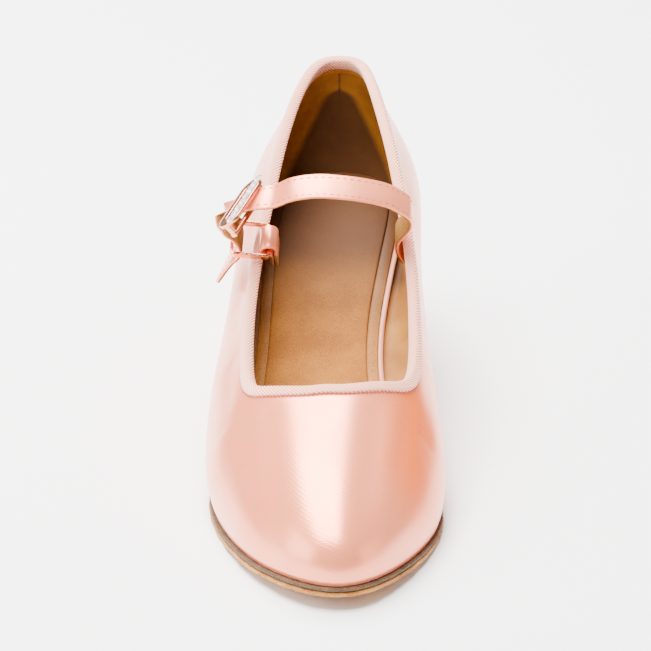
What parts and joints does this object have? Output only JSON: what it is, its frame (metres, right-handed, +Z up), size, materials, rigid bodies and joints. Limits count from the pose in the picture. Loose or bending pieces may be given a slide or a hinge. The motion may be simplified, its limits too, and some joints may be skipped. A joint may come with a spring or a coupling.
{
  "type": "ballroom dance shoe",
  "caption": "Pink satin court shoe for ballroom dancing, with a flared block heel, an open collar and a buckled instep strap.",
  "frame": {"origin": "middle of the flat face that the heel stands on", "axes": "+Z up, the toe points along -Y, +X is the inner side of the foot"},
  "size_m": [0.0799, 0.2386, 0.1001],
  "materials": {
    "satin": "glossy satin weave",
    "binding_tape": "ribbed tape, half matt",
    "insole_satin": "satin wrapped over the insole's edge",
    "sock_border": "matt tan lining leather",
    "sock_suede": "brown suede",
    "sole_edge": "matt dark sole edge",
    "sole_suede": "brushed suede",
    "heel_tip": "matt brown heel tip",
    "rose_gold": "polished rose gold plate"
  },
  "bodies": {
    "root": {"upper": "satin", "topline_binding": "binding_tape", "insole": "insole_satin", "sock_liner": "sock_border", "sock_pad": "sock_suede", "midsole": "sole_edge", "outsole": "sole_suede", "heel": "satin", "heel_tip": "heel_tip", "strap": "satin", "strap_tab": "satin", "ring": "rose_gold", "buckle_frame": "rose_gold"}
  },
  "joints": []
}
